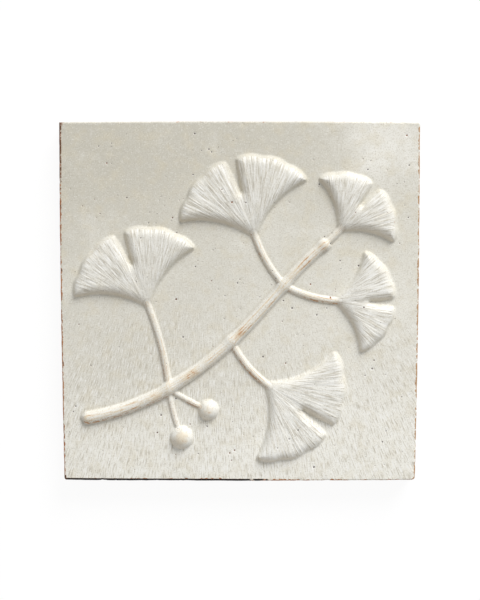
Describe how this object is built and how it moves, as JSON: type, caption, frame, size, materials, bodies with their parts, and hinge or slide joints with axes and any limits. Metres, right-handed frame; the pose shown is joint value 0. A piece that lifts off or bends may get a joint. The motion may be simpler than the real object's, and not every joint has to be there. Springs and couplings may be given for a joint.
{
  "type": "handmade relief tile",
  "caption": "Square handmade ceramic wall tile with a raised leafy sprig on a satin putty-white glazed face and a flat clay back for bedding.",
  "frame": {"origin": "middle of the flat back face", "axes": "+Z out of the decorated face, +Y up the picture, +X to its right"},
  "size_m": [0.151, 0.1516, 0.0146],
  "materials": {
    "glazed_clay": "satin putty-white glaze over terracotta clay"
  },
  "bodies": {
    "root": {"relief_tile": "glazed_clay"}
  },
  "joints": []
}
